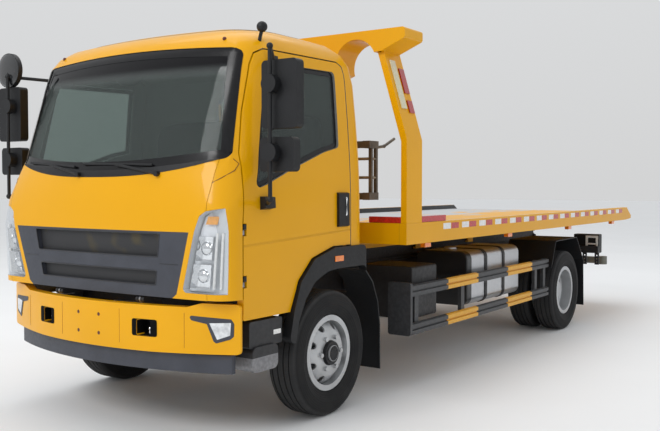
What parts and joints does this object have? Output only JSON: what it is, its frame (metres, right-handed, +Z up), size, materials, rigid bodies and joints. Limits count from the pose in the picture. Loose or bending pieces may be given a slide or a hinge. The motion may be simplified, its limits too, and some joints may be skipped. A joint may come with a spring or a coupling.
{
  "type": "flatbed tow truck",
  "caption": "Forward-control flatbed tow truck with tilting cab, opening doors, steered front wheels, a tilting and sliding bed with a gantry, and a telescopic wheel lift.",
  "frame": {"origin": "on the ground, under the middle of the truck's length and width", "axes": "+X forward, +Y to the driver's left, +Z up"},
  "size_m": [7.6, 2.732, 2.633],
  "materials": {
    "paint_yellow": "gloss",
    "frame_black": "satin",
    "cast_iron": "rough",
    "black_plastic": "grained",
    "slate_plastic": "satin",
    "slate_paint": "satin",
    "aluminium": "brushed",
    "steel": "brushed",
    "wheel_silver": "satin",
    "tyre": "matte",
    "glass": "clear tinted",
    "lamp_clear": "clear",
    "lamp_red": "gloss",
    "seat_cloth": "woven"
  },
  "bodies": {
    "chassis": {"chassis_frame": "frame_black", "front_axle": "cast_iron", "rear_axle": "cast_iron", "leaf_springs": "frame_black", "engine_block": "cast_iron", "driveline": "cast_iron", "radiator": "aluminium", "fuel_tank": "aluminium", "tank_straps": "frame_black", "side_boxes": "frame_black", "side_guards": "frame_black", "bumper": "paint_yellow", "bumper_valance": "slate_plastic", "fog_lamps": "lamp_clear", "entry_steps": "black_plastic", "front_mudguards": "black_plastic", "rear_fenders": "black_plastic", "rear_carrier": "frame_black", "rear_lamps": "lamp_red"},
    "cab": {"cab_shell": "paint_yellow", "front_panel": "paint_yellow", "grille": "slate_plastic", "headlamps": "lamp_clear", "cab_glass": "glass", "cab_trim": "black_plastic", "dashboard": "slate_plastic", "steering_wheel": "black_plastic", "seats": "seat_cloth", "arch_flares": "black_plastic", "cab_hinges": "steel"},
    "left_door": {"door_left": "paint_yellow", "door_glass_left": "glass", "door_fittings_left": "black_plastic"},
    "right_door": {"door_right": "paint_yellow", "door_glass_right": "glass", "door_fittings_right": "black_plastic"},
    "left_knuckle": {"knuckle_left": "cast_iron"},
    "right_knuckle": {"knuckle_right": "cast_iron"},
    "front_left_wheel": {"front_wheel_left": "wheel_silver", "front_tyre_left": "tyre"},
    "front_right_wheel": {"front_wheel_right": "wheel_silver", "front_tyre_right": "tyre"},
    "rear_left_wheels": {"rear_wheels_left": "wheel_silver", "rear_tyres_left": "tyre"},
    "rear_right_wheels": {"rear_wheels_right": "wheel_silver", "rear_tyres_right": "tyre"},
    "tilting_frame": {"tilt_frame": "frame_black"},
    "barrels": {"tilt_barrels": "frame_black"},
    "rods": {"tilt_rods": "steel"},
    "bed": {"bed_deck": "paint_yellow", "bed_rails": "paint_yellow", "gantry": "paint_yellow", "gantry_lamps": "lamp_clear", "headboard_rack": "steel", "winch": "slate_paint"},
    "boom": {"lift_boom": "slate_paint"},
    "slider": {"lift_slider": "slate_paint"},
    "crossbar": {"lift_crossbar": "slate_paint"}
  },
  "joints": [
    {"name": "cab_tilt", "type": "hinge", "parent": "chassis", "child": "cab", "pos_m": [3.705, 0, 0.832], "axis": [0, 1, 0], "range_deg": [0, 45]},
    {"name": "left_door_swing", "type": "hinge", "parent": "cab", "child": "left_door", "pos_m": [3.538, 1.032, 1.2], "axis": [0, 0, -1], "range_deg": [0, 70]},
    {"name": "right_door_swing", "type": "hinge", "parent": "cab", "child": "right_door", "pos_m": [3.538, -1.032, 1.2], "axis": [0, 0, 1], "range_deg": [0, 70]},
    {"name": "left_steer", "type": "hinge", "parent": "chassis", "child": "left_knuckle", "pos_m": [2.67, 0.815, 0.412], "axis": [0, 0, 1], "range_deg": [-35, 35]},
    {"name": "right_steer", "type": "hinge", "parent": "chassis", "child": "right_knuckle", "pos_m": [2.67, -0.815, 0.412], "axis": [0, 0, 1], "range_deg": [-35, 35]},
    {"name": "front_left_spin", "type": "hinge", "parent": "left_knuckle", "child": "front_left_wheel", "pos_m": [2.67, 0.94, 0.412], "axis": [0, 1, 0], "continuous": true},
    {"name": "front_right_spin", "type": "hinge", "parent": "right_knuckle", "child": "front_right_wheel", "pos_m": [2.67, -0.94, 0.412], "axis": [0, 1, 0], "continuous": true},
    {"name": "rear_left_spin", "type": "hinge", "parent": "chassis", "child": "rear_left_wheels", "pos_m": [-1.53, 0.93, 0.412], "axis": [0, 1, 0], "continuous": true},
    {"name": "rear_right_spin", "type": "hinge", "parent": "chassis", "child": "rear_right_wheels", "pos_m": [-1.53, -0.93, 0.412], "axis": [0, 1, 0], "continuous": true},
    {"name": "bed_tilt", "type": "hinge", "parent": "chassis", "child": "tilting_frame", "pos_m": [-2.63, 0, 0.905], "axis": [0, -1, 0], "range_deg": [0, 13]},
    {"name": "bed_slide", "type": "slide", "parent": "tilting_frame", "child": "bed", "axis": [-1, 0, 0], "range_m": [0, 3.4]},
    {"name": "barrel_swing", "type": "hinge", "parent": "chassis", "child": "barrels", "pos_m": [-0.73, 0, 0.72], "axis": [0, -1, 0], "range_deg": [0, 30.5]},
    {"name": "rod_slide", "type": "slide", "parent": "barrels", "child": "rods", "axis": [0.9823, 0, 0.1875], "range_m": [0, 0.24]},
    {"name": "lift_tilt", "type": "hinge", "parent": "chassis", "child": "boom", "pos_m": [-2.33, 0, 0.56], "axis": [0, -1, 0], "range_deg": [-4, 9]},
    {"name": "lift_extend", "type": "slide", "parent": "boom", "child": "slider", "axis": [-1, 0, 0], "range_m": [0, 1]},
    {"name": "crossbar_swivel", "type": "hinge", "parent": "slider", "child": "crossbar", "pos_m": [-3.73, 0, 0.555], "axis": [0, 0, 1], "range_deg": [-25, 25]}
  ],
  "couplings": [
    {"joint": "right_steer", "follows": "left_steer", "ratio": 1},
    {"joint": "barrel_swing", "follows": "bed_tilt", "ratio": 2.32},
    {"joint": "rod_slide", "follows": "bed_tilt", "m_per_rad": 1.005}
  ]
}
